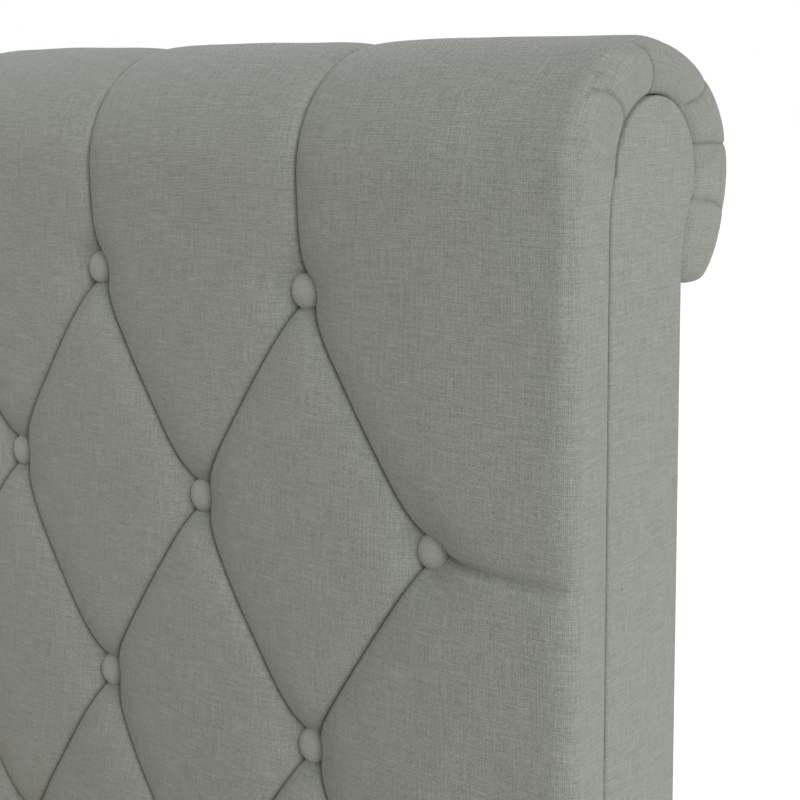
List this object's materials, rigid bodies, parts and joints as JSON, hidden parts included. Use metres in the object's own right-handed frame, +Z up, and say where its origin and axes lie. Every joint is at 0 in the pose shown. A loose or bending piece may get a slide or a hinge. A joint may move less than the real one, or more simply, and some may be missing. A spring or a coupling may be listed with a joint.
{
  "type": "sleigh bed",
  "caption": "Upholstered sleigh bed: scrolled, diamond-tufted headboard and lower footboard, flat cheek panels, padded side rails, slats and a centre beam on square feet.",
  "frame": {"origin": "on the floor, under the middle of the bed's overall box", "axes": "+X across the bed, +Y along it from the footboard to the headboard, +Z up"},
  "size_m": [1.6118, 2.446, 1.2],
  "materials": {
    "linen": "grey-green linen weave",
    "pine": "planed, unfinished",
    "card": "wound card tube",
    "stained_wood": "dark stain, satin lacquer",
    "steel": "zinc plated",
    "leveller_plastic": "black, moulded"
  },
  "bodies": {
    "bed_frame": {"centre_beam": "pine", "centre_leg_1": "pine", "centre_leg_2": "pine", "foot_back_panel": "linen", "foot_beam_hanger": "steel", "foot_bottom_rail": "pine", "foot_face_board": "linen", "foot_left_bolt_1": "steel", "foot_left_bolt_2": "steel", "foot_left_bracket": "steel", "foot_left_cheek": "linen", "foot_left_foot": "stained_wood", "foot_left_post": "pine", "foot_pad": "linen", "foot_right_bolt_1": "steel", "foot_right_bolt_2": "steel", "foot_right_bracket": "steel", "foot_right_cheek": "linen", "foot_right_foot": "stained_wood", "foot_right_post": "pine", "foot_roll_tube": "card", "foot_top_rail": "pine", "head_back_panel": "linen", "head_beam_hanger": "steel", "head_bottom_rail": "pine", "head_face_board": "linen", "head_left_bolt_1": "steel", "head_left_bolt_2": "steel", "head_left_bracket": "steel", "head_left_cheek": "linen", "head_left_foot": "stained_wood", "head_left_post": "pine", "head_pad": "linen", "head_right_bolt_1": "steel", "head_right_bolt_2": "steel", "head_right_bracket": "steel", "head_right_cheek": "linen", "head_right_foot": "stained_wood", "head_right_post": "pine", "head_roll_tube": "card", "head_top_rail": "pine", "left_rail_board": "pine", "left_rail_cover": "linen", "left_slat_ledge": "pine", "right_rail_board": "pine", "right_rail_cover": "linen", "right_slat_ledge": "pine", "slat_01": "pine", "slat_02": "pine", "slat_03": "pine", "slat_04": "pine", "slat_05": "pine", "slat_06": "pine", "slat_07": "pine", "slat_08": "pine", "slat_09": "pine", "slat_10": "pine", "slat_11": "pine"},
    "leveller_1": {"centre_leveller_1": "leveller_plastic"},
    "leveller_2": {"centre_leveller_2": "leveller_plastic"}
  },
  "joints": [
    {"name": "leveller_1_travel", "type": "slide", "parent": "bed_frame", "child": "leveller_1", "axis": [0, 0, 1], "range_m": [0, 0.014]},
    {"name": "leveller_2_travel", "type": "slide", "parent": "bed_frame", "child": "leveller_2", "axis": [0, 0, 1], "range_m": [0, 0.014]}
  ]
}
